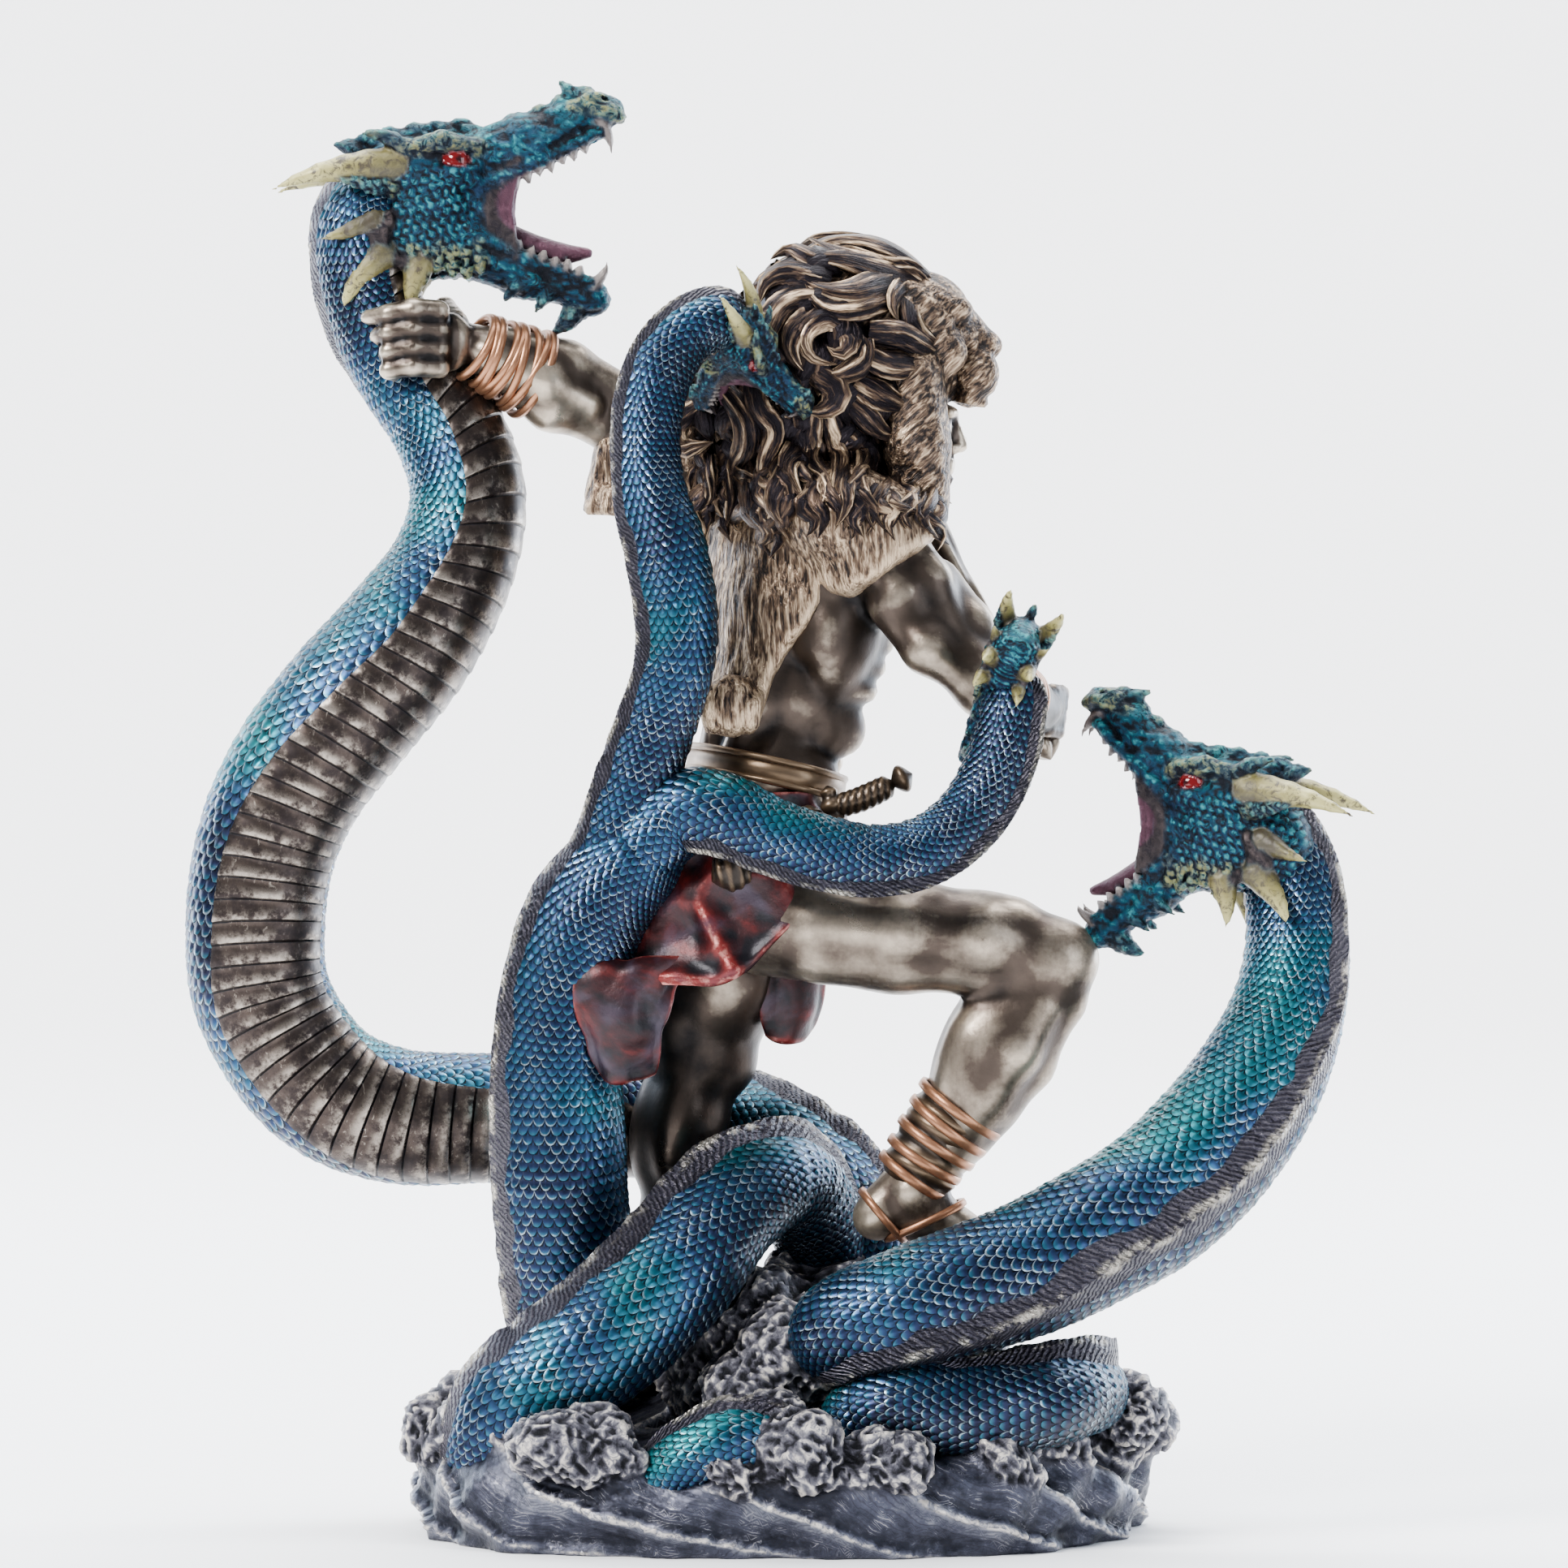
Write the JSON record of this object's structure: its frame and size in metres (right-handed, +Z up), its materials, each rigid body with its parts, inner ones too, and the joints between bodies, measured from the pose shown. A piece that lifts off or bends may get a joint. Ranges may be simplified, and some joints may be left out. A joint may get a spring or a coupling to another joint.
{
  "type": "figurine of a hero fighting a hydra",
  "caption": "Painted cold-cast bronze figure group of a hero in a lion skin wrestling a many-headed hydra on a sea-rock base.",
  "frame": {"origin": "middle of the flat underside of the base", "axes": "+Z up; the hero's back right side, which the picture shows, faces -Y; the hero looks towards +X"},
  "size_m": [0.2287, 0.115, 0.2851],
  "materials": {
    "base_paint": "dark bronze and blue-grey paint, dry-brushed, satin",
    "neck_left_paint": "metallic blue-green paint over bronze, satin",
    "trunk_paint": "metallic blue-green paint over bronze, satin",
    "neck_right_paint": "metallic blue-green paint over bronze, satin",
    "hercules_paint": "antique bronze paint, dry-brushed, satin"
  },
  "bodies": {
    "root": {"base": "base_paint", "neck_left": "neck_left_paint", "trunk": "trunk_paint", "neck_right": "neck_right_paint", "hercules": "hercules_paint"}
  },
  "joints": []
}
